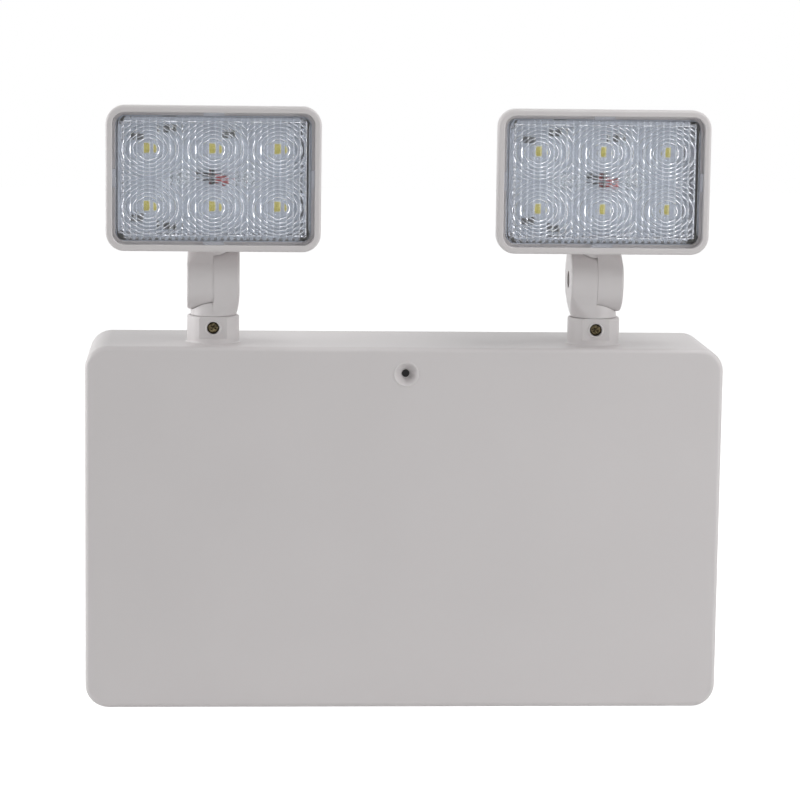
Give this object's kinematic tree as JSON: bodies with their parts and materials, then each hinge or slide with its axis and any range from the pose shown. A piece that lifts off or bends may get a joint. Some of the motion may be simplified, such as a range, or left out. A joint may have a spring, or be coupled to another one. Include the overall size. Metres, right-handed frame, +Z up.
{
  "type": "twin-head emergency light",
  "caption": "Wall-mounted white plastic box with a recessed test button and rectangular LED lamp heads on swivel-and-tilt knuckles on its top.",
  "frame": {"origin": "centre of the back plate's wall face", "axes": "+Y into the wall, -Y out of the front face, +Z up, +X to the right seen from the front"},
  "size_m": [0.28, 0.068, 0.2657],
  "materials": {
    "white_plastic": "satin moulded ABS",
    "clear_lens": "clear moulded polycarbonate",
    "led_board": "white coated aluminium board",
    "led_phosphor": "silicone over yellow phosphor",
    "resistor_black": "black coated chip",
    "screw_steel": "zinc plated",
    "dark_screw_steel": "dark zinc plated",
    "plated_steel": "zinc plated sheet",
    "core_steel": "lacquered lamination",
    "winding_tape": "yellow winding tape",
    "circuit_board": "green solder mask",
    "black_plastic": "black moulding",
    "capacitor_can": "sleeved can",
    "terminal_plastic": "green moulding",
    "connector_plastic": "natural nylon",
    "battery_case": "dark grey case",
    "red_wire": "red insulation",
    "black_wire": "black insulation",
    "yellow_wire": "yellow insulation"
  },
  "bodies": {
    "box": {"front_cover": "white_plastic", "back_plate": "white_plastic", "cover_screws": "screw_steel", "lock_screws": "dark_screw_steel", "battery": "battery_case", "battery_terminals": "plated_steel", "battery_strap": "plated_steel", "strap_screws": "screw_steel", "transformer_core": "core_steel", "transformer_coil": "winding_tape", "transformer_screws": "screw_steel", "control_board": "circuit_board", "control_board_screws": "screw_steel", "relay": "black_plastic", "capacitors": "capacitor_can", "terminal_block": "terminal_plastic", "lamp_connectors": "connector_plastic", "test_switch": "black_plastic", "battery_leads": "red_wire", "transformer_leads": "yellow_wire", "lamp_lead_left": "black_wire", "lamp_lead_right": "black_wire"},
    "test_button": {"test_button": "black_plastic", "switch_plunger": "black_plastic"},
    "swivel_left": {"swivel_neck_left": "white_plastic", "neck_clip_left": "plated_steel"},
    "head_left": {"head_shell_left": "white_plastic", "lens_left": "clear_lens", "led_board_left": "led_board", "leds_left": "led_phosphor", "led_resistors_left": "resistor_black", "led_board_screws_left": "screw_steel", "led_wire_red_left": "red_wire", "led_wire_black_left": "black_wire", "pivot_screw_left": "dark_screw_steel", "pivot_washer_left": "plated_steel", "pivot_nut_left": "plated_steel"},
    "swivel_right": {"swivel_neck_right": "white_plastic", "neck_clip_right": "plated_steel"},
    "head_right": {"head_shell_right": "white_plastic", "lens_right": "clear_lens", "led_board_right": "led_board", "leds_right": "led_phosphor", "led_resistors_right": "resistor_black", "led_board_screws_right": "screw_steel", "led_wire_red_right": "red_wire", "led_wire_black_right": "black_wire", "pivot_screw_right": "dark_screw_steel", "pivot_washer_right": "plated_steel", "pivot_nut_right": "plated_steel"}
  },
  "joints": [
    {"name": "left_swivel", "type": "hinge", "parent": "box", "child": "swivel_left", "pos_m": [-0.0843, -0.04, 0.109], "axis": [0, 0, 1], "range_deg": [-158, 158]},
    {"name": "left_tilt", "type": "hinge", "parent": "swivel_left", "child": "head_left", "pos_m": [-0.0843, -0.04, 0.109], "axis": [1, 0, 0], "range_deg": [-80, 80]},
    {"name": "right_swivel", "type": "hinge", "parent": "box", "child": "swivel_right", "pos_m": [0.0843, -0.04, 0.109], "axis": [0, 0, 1], "range_deg": [-158, 158]},
    {"name": "right_tilt", "type": "hinge", "parent": "swivel_right", "child": "head_right", "pos_m": [0.0843, -0.04, 0.109], "axis": [1, 0, 0], "range_deg": [-80, 80]},
    {"name": "test_press", "type": "slide", "parent": "box", "child": "test_button", "axis": [0, 1, 0], "range_m": [0, 0.0008], "stiffness_N_per_m": 400}
  ]
}
